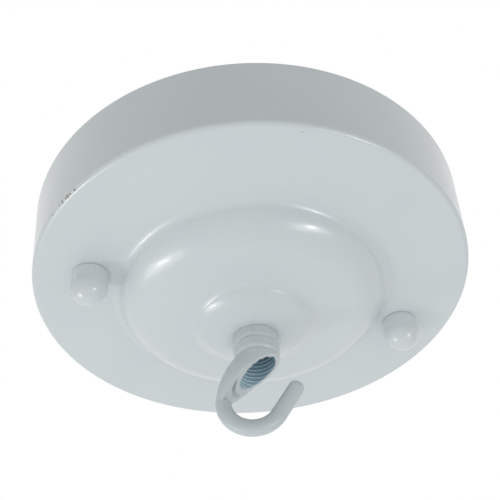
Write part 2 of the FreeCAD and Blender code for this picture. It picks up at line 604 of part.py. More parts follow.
def make_hook():
    body = new_body("hook")
    neck = new_sketch(body, "neck_outline", "XZ_Plane")
    first = "sizes.seat_depth + sizes.collar_height"
    draw_outline(neck, [
        ("0", "sizes.seat_depth"),
        ("sizes.collar_radius", "sizes.seat_depth"),
        ("sizes.collar_radius", first + " - sizes.collar_rounding"),
        ("sizes.collar_radius - sizes.collar_rounding", first),
        ("sizes.collar_radius", first),
        ("sizes.collar_radius", "sizes.stem_top_depth - sizes.collar_rounding"),
        ("sizes.collar_radius - sizes.collar_rounding", "sizes.stem_top_depth"),
        ("0", "sizes.stem_top_depth"),
    ])
    solid = revolve(body, neck, "neck_form")
    for number in (1, 2):
        depth = size("seat_depth") + number * size("collar_height") - size("collar_rounding")
        edges = ring_edges(size("collar_radius"), depth)
        solid = round_edges(body, solid, "ring_%d_rounding" % number, edges, "sizes.collar_rounding")

    stem = new_sketch(body, "stem_section", "XY_Plane")
    stem.setExpression("AttachmentOffset.Base.z", "-sizes.stem_top_depth")
    draw_circle(stem, "0", "0", "sizes.stem_radius")
    add_feature(body, "PartDesign::Pad", "stem", Profile=stem, Reversed=True,
                Length="sizes.thread_end_depth - sizes.stem_top_depth")
    sections = [tongue_section(body, n, *shares) for n, shares in enumerate(TONGUE_SECTIONS)]
    add_feature(body, "PartDesign::AdditiveLoft", "tongue", Profile=sections[0], Sections=sections[1:])

    slant = new_sketch(body, "slanting_cut", "XZ_Plane")
    draw_circle(slant, "sizes.cut_centre_across", "-sizes.cut_centre_depth", "sizes.cut_radius")
    add_feature(body, "PartDesign::Pocket", "stem_cut", Profile=slant, Type="ThroughAll", Midplane=True)

    bore = new_sketch(body, "bore_outline", "XZ_Plane")
    groove = "sizes.mouth_radius + sizes.mouth_groove"
    draw_outline(bore, [
        ("0", "sizes.seat_depth"),
        ("sizes.hook_bore_radius", "sizes.seat_depth"),
        ("sizes.hook_bore_radius", "sizes.thread_end_depth"),
        ("sizes.mouth_radius", "sizes.mouth_depth"),
        ("sizes.mouth_radius", "sizes.mouth_depth - sizes.mouth_groove_height"),
        (groove, "sizes.mouth_depth - sizes.mouth_groove_height"),
        (groove, "sizes.hook_bend_depth"),
        ("0", "sizes.hook_bend_depth"),
    ])
    add_feature(body, "PartDesign::Groove", "bore", Profile=bore, ReferenceAxis=(bore, ["V_Axis"]),
                Angle=360.0)

    start = new_sketch(body, "arm_section", "XY_Plane")
    start.setExpression("AttachmentOffset.Base.z", "-sizes.hook_bend_depth")
    draw_circle(start, "-sizes.arm_start", "0", "sizes.hook_wire_radius")
    add_feature(body, "PartDesign::AdditivePipe", "arm", Profile=start, Spine=(arm_path(body), []))
    tip = add_feature(body, "PartDesign::AdditiveSphere", "arm_tip", Radius="sizes.hook_wire_radius")
    tip.setExpression("Placement.Base.x", "sizes.tip_across")
    tip.setExpression("Placement.Base.z", "-sizes.tip_depth")
    place(body, axis=Vector(0, 0, 1), angle=size("hook_turn"))
    finish(body, "hook")


make_cup()
make_strap()
make_side("left", "-")
make_side("right", "")
make_earth_terminal()
make_nipple()
make_hook()
doc.recompute()


# Every object has to be sound before anything is written

for item in doc.Objects:
    if "Invalid" in item.State or "Error" in item.State:
        raise RuntimeError("%s did not recompute: %s" % (item.Name, item.State))
for item in parts:
    if item.Shape.isNull() or not item.Shape.isValid():
        raise RuntimeError("%s has no valid shape" % item.Label)

os.makedirs("parts", exist_ok=True)
for item in parts:
    item.Shape.exportStep("parts/%s.step" % item.Label)
    box = item.Shape.BoundBox
    print("%-20s %d solid(s) %9.1f mm3  z %7.2f to %6.2f" % (
        item.Label, len(item.Shape.Solids), item.Shape.Volume, box.ZMin, box.ZMax))
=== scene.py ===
# %% [markdown]
# # A ceiling hook plate for a pendant lamp
# A white enamelled steel cup hangs on two studs under a ceiling. Two dome nuts hold it, and a
# cast hook in its middle carries the lamp, whose cord leaves through the hook's hollow stem.
# The measured model comes first: it holds every size and place. What follows dresses it, so
# each piece is made where the measured one is, in metres, with +Z up into the ceiling.

# %% The measured model
import bmesh
import bpy
import math
from mathutils import Matrix, Vector


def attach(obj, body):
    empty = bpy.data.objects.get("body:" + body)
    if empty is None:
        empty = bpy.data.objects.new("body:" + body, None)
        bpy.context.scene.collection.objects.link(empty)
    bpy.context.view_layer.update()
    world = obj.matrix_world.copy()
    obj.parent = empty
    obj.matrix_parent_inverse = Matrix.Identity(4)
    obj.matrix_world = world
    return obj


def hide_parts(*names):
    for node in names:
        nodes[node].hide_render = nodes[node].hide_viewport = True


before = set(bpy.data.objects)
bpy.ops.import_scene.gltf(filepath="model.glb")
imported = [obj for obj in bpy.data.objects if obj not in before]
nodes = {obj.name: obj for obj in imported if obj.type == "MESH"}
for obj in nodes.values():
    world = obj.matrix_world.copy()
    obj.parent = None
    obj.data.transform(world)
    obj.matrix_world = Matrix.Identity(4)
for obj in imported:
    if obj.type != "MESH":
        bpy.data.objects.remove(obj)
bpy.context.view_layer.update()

print("pieces in the measured model:", len(nodes))

# %% [markdown]
# ## Sizes
# The cup, the nuts and the screws are turned forms, so a few radii and depths describe them.
# They are written in millimetres as on a drawing, and MM turns them into metres. What the box
# of a measured piece tells is read from it. A measured circle is made of short straight sides,
# which can make a piece a hundredth narrower, so the boxes are read to a tenth.

# %% Sizes in millimetres, depths counted down from the ceiling
MM = 0.001


def measured_box(name):
    """The low and the high corner of a measured piece, to a tenth of a millimetre."""
    places = [nodes[name].matrix_world @ vertex.co for vertex in nodes[name].data.vertices]
    low = [round(min(place[i] for place in places) / MM, 1) for i in range(3)]
    high = [round(max(place[i] for place in places) / MM, 1) for i in range(3)]
    return low, high


cup_low, cup_high = measured_box("canopy_cup")
nut_low, nut_high = measured_box("right_dome_nut")
RIM_RADIUS = cup_high[0]
SEAT_DEPTH = -cup_low[2]
FACE_DEPTH = -nut_high[2]
FACE_RADIUS = 50.9
STUD_OFFSET = (nut_low[0] + nut_high[0]) / 2
SHEET = 0.8
HOOK_TURN = math.radians(-19.5)
print("rim", RIM_RADIUS, "face at", FACE_DEPTH, "seat at", SEAT_DEPTH, "studs at", STUD_OFFSET)

# %% [markdown]
# ## Helpers for turned pieces
# A lathe turns a profile round an axis, and so does the spin operator. The profile could be a
# long list of points, but a drawing gives corners and the radius of each rounding. So the line
# starts from its corners, and the bevel operator rounds each one: on a line, a bevel takes the
# corner back by the radius times the tangent of half the turn.

# %% A line with rounded corners, and the lathe
def rounded_line(bm, corners, segments):
    """Draws an open line in the XZ plane. Each corner is across, depth and rounding, in millimetres."""
    verts = [bm.verts.new((across * MM, 0, -depth * MM)) for across, depth, rounding in corners]
    for a, b in zip(verts, verts[1:]):
        bm.edges.new((a, b))
    places = [v.co.copy() for v in verts]
    for i in range(1, len(corners) - 1):
        rounding = corners[i][2] * MM
        if rounding > 0:
            turn = (places[i] - places[i - 1]).angle(places[i + 1] - places[i])
            bmesh.ops.bevel(bm, geom=[verts[i]], offset=rounding * math.tan(turn / 2), segments=segments,
                            profile=0.5, affect="VERTICES", material=-1)


def lathe(bm, steps):
    """Turns everything in the bmesh once round the Z axis."""
    geometry = bm.verts[:] + bm.edges[:]
    bmesh.ops.spin(bm, geom=geometry, cent=(0, 0, 0), axis=(0, 0, 1), dvec=(0, 0, 0), angle=math.tau,
                   steps=steps, use_merge=True, use_duplicate=False)
    bmesh.ops.remove_doubles(bm, verts=bm.verts[:], dist=0.002 * MM)
    bmesh.ops.recalc_face_normals(bm, faces=bm.faces[:])


def turned(corners, steps, segments):
    """A new bmesh with a turned form."""
    bm = bmesh.new()
    rounded_line(bm, corners, segments)
    lathe(bm, steps)
    return bm


print("helpers: rounded_line, lathe, turned")

# %% [markdown]
# ## From a bmesh to a named piece
# Every finished piece goes through the same door. It gets its mesh, its material and the body it
# moves with, and the measured piece it stands for is hidden. Its object stays at
# the origin, so that a pattern on Object coordinates lies still on it. Flat parts beside small
# roundings shade cleanly when large faces weigh more in the normals, which a Weighted Normal
# modifier does, so it comes last and is applied with the rest.

# %% Finishing a piece
SHARP_ANGLE = math.radians(40)


def apply_modifiers(piece):
    graph = bpy.context.evaluated_depsgraph_get()
    mesh = bpy.data.meshes.new_from_object(piece.evaluated_get(graph))
    piece.modifiers.clear()
    piece.data = mesh


def new_object(name, bm):
    mesh = bpy.data.meshes.new(name)
    bm.to_mesh(mesh)
    bm.free()
    piece = bpy.data.objects.new(name, mesh)
    bpy.context.scene.collection.objects.link(piece)
    return piece


def cut_away(piece, bm):
    """Takes the form in bm out of the piece."""
    cutter = new_object(piece.name + "_cutter", bm)
    cut = piece.modifiers.new("cut", "BOOLEAN")
    cut.operation = "DIFFERENCE"
    cut.solver = "EXACT"
    cut.object = cutter
    apply_modifiers(piece)
    bpy.data.objects.remove(cutter)


def soften(piece, width):
    """Breaks the sharp edges by a width in millimetres, then evens out the shading."""
    if width > 0:
        bevel = piece.modifiers.new("broken_edges", "BEVEL")
        bevel.width = width * MM
        bevel.segments = 2
        bevel.limit_method = "ANGLE"
        bevel.angle_limit = SHARP_ANGLE
    weighted = piece.modifiers.new("even_shading", "WEIGHTED_NORMAL")
    weighted.keep_sharp = True
    for polygon in piece.data.polygons:
        polygon.use_smooth = True
    apply_modifiers(piece)


def hand_over(piece, material, body, replaced):
    """Gives the piece its finish and its body, and hides the measured piece it stands for, if there is one.
    """
    piece.data.materials.clear()
    piece.data.materials.append(material)
    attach(piece, body)
    if replaced:
        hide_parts(replaced)
    triangles = sum(len(p.vertices) - 2 for p in piece.data.polygons)
    print(piece.name, "has", triangles, "triangles")


print("helpers: apply_modifiers, new_object, cut_away, soften, hand_over")

# %% [markdown]
# ## Effects that several finishes share
# Paint and metal are never one flat colour. An effect that several finishes need is a small
# node group with named inputs, built once and used with other values in each material. All of
# them read Object coordinates in metres, so a noise of scale 100 has spots of about 1 cm. A Mix
# node keeps the sockets of all its data types, so its colour sockets are reached by number.

# %% Node group helpers
FLOAT = "NodeSocketFloat"
COLOUR = "NodeSocketColor"
VECTOR = "NodeSocketVector"
MIX_FIRST = 6
MIX_SECOND = 7
MIX_RESULT = 2


def new_group(name, inputs, outputs):
    group = bpy.data.node_groups.new(name, "ShaderNodeTree")
    for label, kind, value in inputs:
        socket = group.interface.new_socket(label, in_out="INPUT", socket_type=kind)
        socket.default_value = value
    for label, kind in outputs:
        group.interface.new_socket(label, in_out="OUTPUT", socket_type=kind)
    return group, group.nodes.new("NodeGroupInput"), group.nodes.new("NodeGroupOutput")


def add(tree, kind, values=(), **settings):
    """A node with its settings, and the values of its unlinked sockets."""
    node = tree.nodes.new(kind)
    for key, value in settings.items():
        setattr(node, key, value)
    for key, value in values:
        node.inputs[key].default_value = value
    return node


def use_group(tree, group, **values):
    node = tree.nodes.new("ShaderNodeGroup")
    node.node_tree = group
    for key, value in values.items():
        node.inputs[key].default_value = value
    return node


print("node helpers: new_group, add, use_group")

# %% [markdown]
# ## Two tints that drift
# Enamel lies a little thicker here and thinner there, and plating varies too. A soft noise
# changes one colour over into the other, and Map Range stretches its middle, so that both
# colours really appear.

# %% Tint drift
drift, ends, out = new_group(
    "tint_drift",
    (("First", COLOUR, (0.8, 0.8, 0.8, 1)), ("Second", COLOUR, (0.7, 0.7, 0.7, 1)), ("Scale", FLOAT, 40.0)),
    (("Color", COLOUR),))
where = add(drift, "ShaderNodeTexCoord")
cloud = add(drift, "ShaderNodeTexNoise", (("Detail", 1.5), ("Roughness", 0.5)))
spread = add(drift, "ShaderNodeMapRange", (("From Min", 0.35), ("From Max", 0.65)))
blend = add(drift, "ShaderNodeMix", data_type="RGBA")
drift.links.new(where.outputs["Object"], cloud.inputs["Vector"])
drift.links.new(ends.outputs["Scale"], cloud.inputs["Scale"])
drift.links.new(cloud.outputs["Fac"], spread.inputs["Value"])
drift.links.new(spread.outputs["Result"], blend.inputs["Factor"])
drift.links.new(ends.outputs["First"], blend.inputs[MIX_FIRST])
drift.links.new(ends.outputs["Second"], blend.inputs[MIX_SECOND])
drift.links.new(blend.outputs[MIX_RESULT], out.inputs["Color"])
print("group", drift.name)

# %% [markdown]
# ## Uneven gloss
# A sprayed or plated surface isn't equally smooth everywhere, and the width of its glints gives
# that away. The same kind of noise puts out a value between two limits, for the roughness.

# %% Uneven value
uneven, ends, out = new_group(
    "uneven_value",
    (("Low", FLOAT, 0.2), ("High", FLOAT, 0.3), ("Scale", FLOAT, 200.0)),
    (("Value", FLOAT),))
where = add(uneven, "ShaderNodeTexCoord")
cloud = add(uneven, "ShaderNodeTexNoise", (("Detail", 2.0), ("Roughness", 0.5)))
spread = add(uneven, "ShaderNodeMapRange", (("From Min", 0.3), ("From Max", 0.7)))
uneven.links.new(where.outputs["Object"], cloud.inputs["Vector"])
uneven.links.new(ends.outputs["Scale"], cloud.inputs["Scale"])
uneven.links.new(cloud.outputs["Fac"], spread.inputs["Value"])
uneven.links.new(ends.outputs["Low"], spread.inputs["To Min"])
uneven.links.new(ends.outputs["High"], spread.inputs["To Max"])
uneven.links.new(spread.outputs["Result"], out.inputs["Value"])
print("group", uneven.name)

# %% [markdown]
# ## Orange peel
# A sprayed coat dries with fine waves, and on plated metal the same pattern passes for its
# grain. Waves in the mesh would need millions of faces, so two noises make a height for a Bump
# node: the fine waves, and a coarser swell under them.

# %% Orange peel
peel, ends, out = new_group(
    "orange_peel",
    (("Fine", FLOAT, 900.0), ("Coarse", FLOAT, 120.0), ("Swell", FLOAT, 0.5)),
    (("Height", FLOAT),))
where = add(peel, "ShaderNodeTexCoord")
fine = add(peel, "ShaderNodeTexNoise", (("Detail", 2.0), ("Roughness", 0.4)))
coarse = add(peel, "ShaderNodeTexNoise", (("Detail", 1.0), ("Roughness", 0.3)))
swell = add(peel, "ShaderNodeMath", operation="MULTIPLY")
total = add(peel, "ShaderNodeMath", operation="ADD")
for noise, label in ((fine, "Fine"), (coarse, "Coarse")):
    peel.links.new(where.outputs["Object"], noise.inputs["Vector"])
    peel.links.new(ends.outputs[label], noise.inputs["Scale"])
peel.links.new(coarse.outputs["Fac"], swell.inputs[0])
peel.links.new(ends.outputs["Swell"], swell.inputs[1])
peel.links.new(fine.outputs["Fac"], total.inputs[0])
peel.links.new(swell.outputs["Value"], total.inputs[1])
peel.links.new(total.outputs["Value"], out.inputs["Height"])
print("group", peel.name)

# %% [markdown]
# ## A chip
# Where the plate was knocked, a spot of enamel is gone. The distance from one place makes a
# round spot, and a noise frays its edge. Each chip takes the mask of the chip before it and
# puts out the larger of the two, so any number of chips forms a chain.

# %% Chip
chip, ends, out = new_group(
    "chip",
    (("Place", VECTOR, (0, 0, 0)), ("Radius", FLOAT, 0.0005), ("Ragged", FLOAT, 0.0003),
     ("Before", FLOAT, 0.0)),
    (("Mask", FLOAT),))
where = add(chip, "ShaderNodeTexCoord")
away = add(chip, "ShaderNodeVectorMath", operation="DISTANCE")
fray = add(chip, "ShaderNodeTexNoise", (("Scale", 1600.0), ("Detail", 3.0)))
centred = add(chip, "ShaderNodeMath", ((1, 0.5),), operation="SUBTRACT")
shift = add(chip, "ShaderNodeMath", operation="MULTIPLY_ADD")
edge = add(chip, "ShaderNodeMath", operation="SUBTRACT")
sharp = add(chip, "ShaderNodeMapRange", (("From Min", 0.0), ("From Max", 0.0002)))
most = add(chip, "ShaderNodeMath", operation="MAXIMUM")
chip.links.new(where.outputs["Object"], away.inputs[0])
chip.links.new(ends.outputs["Place"], away.inputs[1])
chip.links.new(where.outputs["Object"], fray.inputs["Vector"])
chip.links.new(fray.outputs["Fac"], centred.inputs[0])
chip.links.new(centred.outputs["Value"], shift.inputs[0])
chip.links.new(ends.outputs["Ragged"], shift.inputs[1])
chip.links.new(ends.outputs["Radius"], shift.inputs[2])
chip.links.new(shift.outputs["Value"], edge.inputs[0])
chip.links.new(away.outputs["Value"], edge.inputs[1])
chip.links.new(edge.outputs["Value"], sharp.inputs["Value"])
chip.links.new(sharp.outputs["Result"], most.inputs[0])
chip.links.new(ends.outputs["Before"], most.inputs[1])
chip.links.new(most.outputs["Value"], out.inputs["Mask"])
print("group", chip.name)

# %% [markdown]
# ## Enamel
# The cup, the nuts and the hook are stove enamelled: a cool white under a clear gloss. A coat
# layer on a slightly rough white gives both the soft body colour and the sharp reflections.
# Where the enamel is chipped the brown primer shows, which a Mix node lays over the white by
# the chips' mask. A Bump node takes the orange peel.

# %% Enamel
PRIMER = (0.34, 0.30, 0.26, 1.0)
FRAYED = 1.6


def principled(name, roughness, metallic=0.0):
    """A new material, its node tree and its Principled shader."""
    material = bpy.data.materials.new(name)
    material.use_nodes = True
    shader = material.node_tree.nodes["Principled BSDF"]
    shader.inputs["Roughness"].default_value = roughness
    shader.inputs["Metallic"].default_value = metallic
    return material, material.node_tree, shader


def chain_chips(tree, chips):
    """Joins the chips in one mask. Without chips there is none."""
    mask = None
    for place, radius in chips:
        spot = use_group(tree, chip, Place=[c * MM for c in place], Radius=radius * MM,
                         Ragged=radius * FRAYED * MM)
        if mask:
            tree.links.new(mask, spot.inputs["Before"])
        mask = spot.outputs["Mask"]
    return mask


def enamel(name, first, second, chips=(), peel_depth=0.008, gloss=0.35, low=0.28):
    """An enamel between two tints. The peel's depth is in millimetres, gloss is the weight of
    the clear coat, and low is the roughness where the enamel is smoothest."""
    material, tree, shader = principled(name, low)
    shader.inputs["Coat Weight"].default_value = gloss
    shader.inputs["Coat Roughness"].default_value = 0.10
    shader.inputs["Specular IOR Level"].default_value = 0.35
    white = use_group(tree, drift, First=first, Second=second, Scale=55.0)
    rough = use_group(tree, uneven, Low=low, High=low + 0.05, Scale=90.0)
    skin = use_group(tree, peel, Fine=450.0, Coarse=110.0, Swell=0.8)
    bump = add(tree, "ShaderNodeBump", (("Strength", 1.0), ("Distance", peel_depth * MM)))
    tree.links.new(skin.outputs["Height"], bump.inputs["Height"])
    tree.links.new(bump.outputs["Normal"], shader.inputs["Normal"])
    tree.links.new(rough.outputs["Value"], shader.inputs["Roughness"])
    colour = white.outputs["Color"]
    mask = chain_chips(tree, chips)
    if mask:
        over = add(tree, "ShaderNodeMix", data_type="RGBA")
        over.inputs[MIX_SECOND].default_value = PRIMER
        tree.links.new(mask, over.inputs["Factor"])
        tree.links.new(colour, over.inputs[MIX_FIRST])
        colour = over.outputs[MIX_RESULT]
    tree.links.new(colour, shader.inputs["Base Color"])
    return material


print("helpers: principled, chain_chips, enamel")

# %% [markdown]
# ## White with chips
# The chips sit on the cup's edge, where such a plate is knocked in its box: a row of them on
# the left and single specks elsewhere. Each is a place and a radius in millimetres. Those on
# the edge are given by their angle round the cup and their height above the face.

# %% The three enamels
def on_face_edge(degrees, up=0.25):
    """A place just inside the edge between the cup's wall and its face."""
    across = FACE_RADIUS - 0.2
    turn = math.radians(degrees)
    return across * math.cos(turn), across * math.sin(turn), -FACE_DEPTH + up


CHIPS = (
    (on_face_edge(-154.3, 0.50), 0.50),
    (on_face_edge(-153.4, 0.45), 0.42),
    (on_face_edge(-155.2, 0.60), 0.36),
    (on_face_edge(-156.6, 0.55), 0.40),
    (on_face_edge(-157.8, 0.60), 0.30),
    (on_face_edge(-151.6, 0.40), 0.34),
    (on_face_edge(-161.5, 0.45), 0.28),
    (on_face_edge(-62.1), 0.20),
    (on_face_edge(-44.4), 0.22),
    ((-4.9, -49.2, -FACE_DEPTH), 0.22),
    ((-25.2, -2.8, -25.2), 0.20),
)
cup_enamel = enamel("white_enamel", (0.665, 0.722, 0.738, 1), (0.65, 0.708, 0.728, 1), CHIPS)
nut_enamel = enamel("nut_enamel", (0.68, 0.73, 0.745, 1), (0.66, 0.715, 0.735, 1))
# The hook's tints are a shaded copy of the cup's white: their darker values are painted shade.
hook_enamel = enamel("hook_enamel", (0.62, 0.68, 0.70, 1), (0.58, 0.645, 0.665, 1), peel_depth=0.03,
                     gloss=0.15, low=0.42)
print("enamels:", cup_enamel.name, nut_enamel.name, hook_enamel.name, "chips:", len(CHIPS))

# %% [markdown]
# ## Metals
# The hidden pieces are zinc plated steel and brass, and the thread in the hook is bare steel.
# Its dull blue is painted shade, the cool hue of the shaded bore laid into the steel's colour.
# Plated steel is a metal whose roughness changes from place to place more than its colour
# does, so one function with two tints and two roughness values makes them all.

# %% Metals
GRAIN_DEPTH = 0.01


def metal(name, first, second, low, high, metallic=1.0):
    """A metal between two tints, with a roughness between low and high."""
    material, tree, shader = principled(name, low, metallic)
    tint = use_group(tree, drift, First=first, Second=second, Scale=120.0)
    rough = use_group(tree, uneven, Low=low, High=high, Scale=350.0)
    skin = use_group(tree, peel, Fine=1500.0, Coarse=250.0, Swell=0.6)
    bump = add(tree, "ShaderNodeBump", (("Strength", 1.0), ("Distance", GRAIN_DEPTH * MM)))
    tree.links.new(tint.outputs["Color"], shader.inputs["Base Color"])
    tree.links.new(rough.outputs["Value"], shader.inputs["Roughness"])
    tree.links.new(skin.outputs["Height"], bump.inputs["Height"])
    tree.links.new(bump.outputs["Normal"], shader.inputs["Normal"])
    return material


zinc = metal("zinc_plate", (0.66, 0.67, 0.69, 1), (0.55, 0.57, 0.60, 1), 0.22, 0.42)
bolt_zinc = metal("bolt_zinc", (0.70, 0.70, 0.70, 1), (0.60, 0.59, 0.57, 1), 0.18, 0.34)
brass = metal("brass", (0.82, 0.62, 0.30, 1), (0.70, 0.50, 0.22, 1), 0.20, 0.40)
# The thread's blue tints are painted shade: the cool hue of the shaded bore.
thread_steel = metal("thread_steel", (0.44, 0.59, 0.66, 1), (0.34, 0.49, 0.57, 1), 0.50, 0.65,
                     metallic=0.15)
print("metals:", zinc.name, bolt_zinc.name, brass.name, thread_steel.name)

# %% [markdown]
# ## Nylon
# The bush that keeps the cord off the tube's end is natural nylon, a warm white and rather
# dull. It uses the same groups as the metals, with a finer grain, but stays a plastic.

# %% Nylon
nylon, tree, shader = principled("nylon", 0.45)
tint = use_group(tree, drift, First=(0.86, 0.85, 0.79, 1), Second=(0.82, 0.80, 0.73, 1), Scale=150.0)
skin = use_group(tree, peel, Fine=2500.0, Coarse=500.0, Swell=0.5)
bump = add(tree, "ShaderNodeBump", (("Strength", 1.0), ("Distance", GRAIN_DEPTH * MM)))
tree.links.new(tint.outputs["Color"], shader.inputs["Base Color"])
tree.links.new(skin.outputs["Height"], bump.inputs["Height"])
tree.links.new(bump.outputs["Normal"], shader.inputs["Normal"])
print("materials so far:", len(bpy.data.materials))

# %% [markdown]
# ## The pressed cup
# The real cup is one disc of sheet steel pressed into a stepped dome, so its wall is the same
# all over. One turned line gives the outer skin, and a Solidify modifier gives it the sheet's
# thickness inwards. Two cylinders cut the holes for the studs. The centre hole needs no cut,
# because the line ends at its edge. Solidify needs to know which side is out, so the faces are
# turned over if the seat round the hook doesn't look down. The rim was trimmed flat against the
# ceiling, so whatever stands over that plane is pressed down to it.

# %% Cup
CUP_LINE = (
    (RIM_RADIUS, 0.0, 0),
    (FACE_RADIUS, FACE_DEPTH, 1.2),
    (31.6, FACE_DEPTH, 2.8),
    (28.7, 24.7, 10.0),
    (14.3, 26.2, 3.2),
    (12.4, 28.1, 7.5),
    (6.8, SEAT_DEPTH, 3.0),
    (4.2, SEAT_DEPTH, 0),
)
STUD_HOLE = 2.2 * MM
DRILL_LENGTH = 4 * MM
cup_bm = turned(CUP_LINE, steps=288, segments=12)
seat = min(cup_bm.faces, key=lambda face: face.calc_center_median().z)
if seat.normal.z > 0:
    bmesh.ops.reverse_faces(cup_bm, faces=cup_bm.faces[:])
cup = new_object("pressed_cup", cup_bm)
wall = cup.modifiers.new("sheet", "SOLIDIFY")
wall.thickness = SHEET * MM
wall.offset = -1.0
wall.use_even_offset = True
apply_modifiers(cup)
for vertex in cup.data.vertices:
    vertex.co.z = min(vertex.co.z, 0.0)
drill = bmesh.new()
for side in (-1, 1):
    place = Matrix.Translation((side * STUD_OFFSET * MM, 0, -FACE_DEPTH * MM))
    bmesh.ops.create_cone(drill, cap_ends=True, segments=48, radius1=STUD_HOLE, radius2=STUD_HOLE,
                          depth=DRILL_LENGTH, matrix=place)
cut_away(cup, drill)
soften(cup, 0.12)
hand_over(cup, cup_enamel, "root", "canopy_cup")

# %% [markdown]
# ## Dome nuts
# Each nut is turned from one bar: a blind bore, a short straight skirt and a half ball. The
# ball is the rounding of a single corner, so the bevel makes it, and a small rounding breaks
# the edge that sits on the cup. Each nut rides on its own body, because it turns on its stud.

# %% Dome nuts
NUT_RADIUS = nut_high[1]
NUT_END = -nut_low[2]
NUT_BORE = 2.05
NUT_BORE_DEPTH = 24.6
NUT_LINE = (
    (0.0, NUT_BORE_DEPTH, 0),
    (NUT_BORE, NUT_BORE_DEPTH, 0),
    (NUT_BORE, FACE_DEPTH, 0),
    (NUT_RADIUS, FACE_DEPTH, 0.35),
    (NUT_RADIUS, NUT_END, NUT_RADIUS - 0.02),
    (0.0, NUT_END, 0),
)
for side, sign in (("left", -1), ("right", 1)):
    nut_bm = turned(NUT_LINE, steps=72, segments=20)
    bmesh.ops.translate(nut_bm, verts=nut_bm.verts[:], vec=(sign * STUD_OFFSET * MM, 0, 0))
    nut = new_object(side + "_white_nut", nut_bm)
    soften(nut, 0.0)
    hand_over(nut, nut_enamel, side + "_nut", side + "_dome_nut")

# %% [markdown]
# ## The hook's casting
# The hook is one casting: a ringed neck, a hollow stem cut on the slant and a round arm. The
# measured model already has its true form, with edges as sharp as a drawing. Enamel rounds all
# of them. A bevel would have to cope with the slanted cut, so a copy of the mesh is rebuilt as
# fine even faces by a voxel Remesh, which a few rounds of smoothing then soften like a coat.

# %% Hook
VOXEL = 0.15
SMOOTHING_ROUNDS = 5
hook_bm = bmesh.new()
hook_bm.from_mesh(nodes["hook"].data)
bmesh.ops.remove_doubles(hook_bm, verts=hook_bm.verts[:], dist=0.001 * MM)
hook = new_object("cast_hook", hook_bm)
remesh = hook.modifiers.new("even_faces", "REMESH")
remesh.mode = "VOXEL"
remesh.voxel_size = VOXEL * MM
coat = hook.modifiers.new("coat", "SMOOTH")
coat.factor = 0.5
coat.iterations = SMOOTHING_ROUNDS
apply_modifiers(hook)
for polygon in hook.data.polygons:
    polygon.use_smooth = True
hand_over(hook, hook_enamel, "root", "hook")

# %% [markdown]
# ## Threads
# A thread is a small section carried round the axis while it climbs, which the spin operator
# does in one go: its offset adds a rise at each step. The section is a face, so the ridge comes
# out closed at both ends. An outside thread stands on a core, and an inside one grows from the
# wall of its bore. Its foot is sunk a little, so that no gap shows there. The half widths of
# foot and crest are shares of the pitch.

# %% Thread helper
M8_PITCH = 1.0
M4_PITCH = 0.7
SUNK = 0.12
FOOT_SHARE = 0.47
CREST_SHARE = 0.06


def add_thread(bm, root, crest, pitch, top, bottom, steps):
    """A helical ridge from one depth down to another. root and crest are radii in millimetres."""
    inward = -1 if crest < root else 1
    base = root - inward * SUNK
    foot = FOOT_SHARE * pitch
    flat = CREST_SHARE * pitch
    corners = ((base, foot), (crest, flat), (crest, -flat), (base, -foot))
    verts = [bm.verts.new((across * MM, 0, (height - top - foot) * MM)) for across, height in corners]
    section = bm.faces.new(verts)
    turns = (bottom - top - 2 * foot) / pitch
    count = round(turns * steps)
    geometry = [section] + section.verts[:] + section.edges[:]
    bmesh.ops.spin(bm, geom=geometry, cent=(0, 0, 0), axis=(0, 0, 1), dvec=(0, 0, -pitch * MM / steps),
                   angle=math.tau * count / steps, steps=count, use_merge=False, use_duplicate=False)
    bmesh.ops.recalc_face_normals(bm, faces=bm.faces[:])


print("helper: add_thread")

# %% [markdown]
# ## The slanting cut
# The hook's stem is cut open on the slant, and the cut is part of a large cylinder across the
# hook. The cylinder's radius and both ends of the cut, seen from the side, fix its middle: it
# lies on the line that halves the chord between the ends, on the lower side.

# %% The middle of the cutting cylinder
CUT_RADIUS = 37.0
CUT_TOP = Vector((4.95, -36.3))
CUT_END = Vector((-7.8, -46.5))
chord = CUT_END - CUT_TOP
across = Vector((-chord.y, chord.x)).normalized()
rise = math.sqrt(CUT_RADIUS ** 2 - chord.length_squared / 4)
candidates = [(CUT_TOP + CUT_END) / 2 + across * rise * way for way in (1, -1)]
middle = min(candidates, key=lambda point: point.y)
print("middle of the cut:", [round(c, 2) for c in middle])

# %% [markdown]
# ## The thread in the hook's stem
# The photo looks straight into the stem and shows its M8 x 1 thread, which the slanting cut
# lays open, so the same cylinder cuts the thread. The ridges stay clear of the threaded tube
# that fills the upper end of the bore. Where the knife closes the ridge, its faces lie on the
# cut and become white like it, so they are marked before the ridge is turned with the hook.

# %% Hook thread
BORE_RADIUS = 4.05
THREAD_CREST = 3.90
THREAD_END = 42.1
END_GAP = 0.1
KNIFE_LENGTH = 24 * MM
CUT_MARGIN = 0.02
tube_low, tube_high = measured_box("cord_nipple")
TUBE_TOP = -tube_high[2]
TUBE_END = -tube_low[2]

ridge_bm = bmesh.new()
add_thread(ridge_bm, BORE_RADIUS, THREAD_CREST, M8_PITCH, TUBE_END + END_GAP, THREAD_END, steps=64)
ridge = new_object("hook_thread", ridge_bm)
knife = bmesh.new()
bmesh.ops.create_cone(knife, cap_ends=True, segments=360, radius1=CUT_RADIUS * MM, radius2=CUT_RADIUS * MM,
                      depth=KNIFE_LENGTH, matrix=Matrix.Rotation(math.pi / 2, 4, "X"))
bmesh.ops.translate(knife, verts=knife.verts[:], vec=(middle.x * MM, 0, middle.y * MM))
cut_away(ridge, knife)
on_cut = []
for polygon in ridge.data.polygons:
    away = math.hypot(polygon.center.x - middle.x * MM, polygon.center.z - middle.y * MM)
    on_cut.append(abs(away - CUT_RADIUS * MM) < CUT_MARGIN * MM)
ridge.data.transform(Matrix.Rotation(HOOK_TURN, 4, "Z"))
hand_over(ridge, thread_steel, "root", None)

